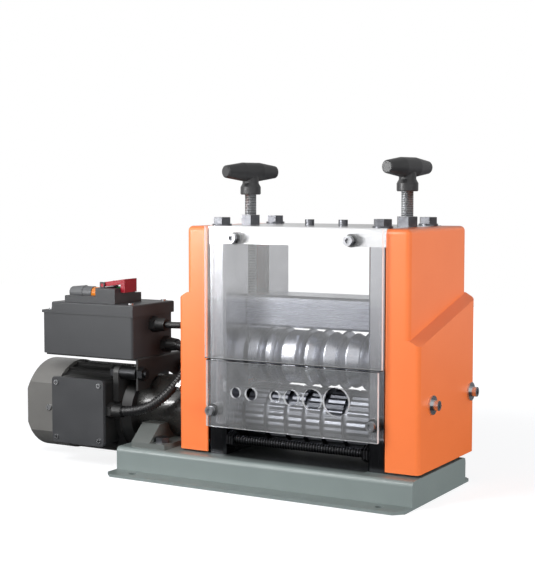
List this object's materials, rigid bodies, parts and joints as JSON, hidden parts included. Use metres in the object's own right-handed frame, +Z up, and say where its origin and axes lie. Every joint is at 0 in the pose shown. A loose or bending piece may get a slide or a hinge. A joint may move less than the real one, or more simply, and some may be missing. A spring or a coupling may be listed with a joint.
{
  "type": "bench wire stripping machine",
  "caption": "Motor-driven bench machine that pulls wire between a fluted feed roller and a height-adjustable blade roller to slit its insulation.",
  "frame": {"origin": "centre of the four bolt holes in the base flanges, on the surface that the base stands on", "axes": "+X along the base from the motor towards the free end, +Y to the rear, where the wire leaves, +Z up"},
  "size_m": [0.4898, 0.2948, 0.3307],
  "materials": {
    "base_grey": "satin grey powder coat",
    "bare_steel": "ground steel",
    "zinc": "bright zinc plate",
    "dark_steel": "oiled dark steel",
    "bright_steel": "bright turned steel",
    "orange_powder": "semi gloss orange powder coat",
    "clear_acrylic": "clear acrylic sheet",
    "black_plastic": "fine grained black plastic",
    "motor_black": "satin black paint",
    "fan_grey": "dark grey paint",
    "box_grey": "dark grey plastic",
    "red_plastic": "moulded red plastic",
    "green_plastic": "moulded green plastic",
    "amber_lens": "amber lens",
    "black_rubber": "black cable sheath"
  },
  "bodies": {
    "machine": {"base_tray": "base_grey", "left_side_plate": "bare_steel", "right_side_plate": "bare_steel", "top_plate": "bare_steel", "top_bolts": "zinc", "top_cap_screws": "zinc", "front_tie_rod": "dark_steel", "left_cover": "orange_powder", "right_cover": "orange_powder", "cover_standoffs": "zinc", "cover_washers": "zinc", "cover_screws": "zinc", "upper_guard": "clear_acrylic", "lower_guard": "clear_acrylic", "guard_spacers": "black_plastic", "guard_screws": "zinc", "feed_bearings": "bright_steel", "clamp_nuts": "zinc", "motor_body": "motor_black", "fan_cover": "fan_grey", "fan_cover_screws": "zinc", "end_shield": "motor_black", "gear_housing": "motor_black", "gearhead_bolts": "zinc", "motor_foot": "motor_black", "foot_bolts": "zinc", "terminal_box": "black_plastic", "terminal_lid": "box_grey", "box_screws": "zinc", "terminal_gland": "black_plastic", "switch_bracket": "motor_black", "bracket_spacers": "zinc", "bracket_bolts": "zinc", "switch_box": "box_grey", "switch_lid": "box_grey", "switch_housing": "black_plastic", "switch_glands": "black_plastic", "switch_knob": "box_grey", "switch_lamp": "amber_lens", "motor_lead": "black_rubber", "mains_cord": "black_rubber", "mains_coil": "black_rubber", "mains_plug": "black_rubber"},
    "feed_roller": {"feed_roller": "bright_steel", "feed_gear": "dark_steel"},
    "blade_carriage": {"press_blocks": "bare_steel", "press_beam": "bare_steel", "blade_bearings": "bright_steel"},
    "blade_roller": {"blade_shaft": "bright_steel", "blade_gear": "dark_steel", "blade_discs": "bright_steel", "blade_collars": "bright_steel"},
    "left_clamp": {"left_clamp_screw": "zinc", "left_handle": "black_plastic"},
    "right_clamp": {"right_clamp_screw": "zinc", "right_handle": "black_plastic"},
    "paddle": {"switch_paddle": "red_plastic"},
    "stop_button": {"stop_button": "red_plastic"},
    "start_button": {"start_button": "green_plastic"}
  },
  "joints": [
    {"name": "feed_roller_spin", "type": "hinge", "parent": "machine", "child": "feed_roller", "pos_m": [0.0335, 0.021, 0.062], "axis": [1, 0, 0], "continuous": true},
    {"name": "blade_height", "type": "slide", "parent": "machine", "child": "blade_carriage", "axis": [0, 0, 1], "range_m": [0, 0.0035]},
    {"name": "blade_roller_spin", "type": "hinge", "parent": "blade_carriage", "child": "blade_roller", "pos_m": [0.0335, 0.021, 0.1245], "axis": [1, 0, 0], "continuous": true},
    {"name": "left_clamp_turn", "type": "hinge", "parent": "blade_carriage", "child": "left_clamp", "pos_m": [-0.057, 0.021, 0.25], "axis": [0, 0, 1], "range_deg": [-1, 722]},
    {"name": "right_clamp_turn", "type": "hinge", "parent": "blade_carriage", "child": "right_clamp", "pos_m": [0.124, 0.021, 0.25], "axis": [0, 0, 1], "range_deg": [-1, 722]},
    {"name": "paddle_lift", "type": "hinge", "parent": "machine", "child": "paddle", "pos_m": [-0.21, -0.025, 0.1952], "axis": [0, -1, 0], "range_deg": [0, 75]},
    {"name": "stop_press", "type": "slide", "parent": "machine", "child": "stop_button", "axis": [0, 0, -1], "range_m": [0, 0.002], "stiffness_N_per_m": 400, "springref_m": -0.0005},
    {"name": "start_press", "type": "slide", "parent": "machine", "child": "start_button", "axis": [0, 0, -1], "range_m": [0, 0.002], "stiffness_N_per_m": 400, "springref_m": -0.0005}
  ],
  "couplings": [
    {"joint": "blade_roller_spin", "follows": "feed_roller_spin", "ratio": -1},
    {"joint": "left_clamp_turn", "follows": "blade_height", "rad_per_m": 3590.4},
    {"joint": "right_clamp_turn", "follows": "blade_height", "rad_per_m": 3590.4}
  ]
}
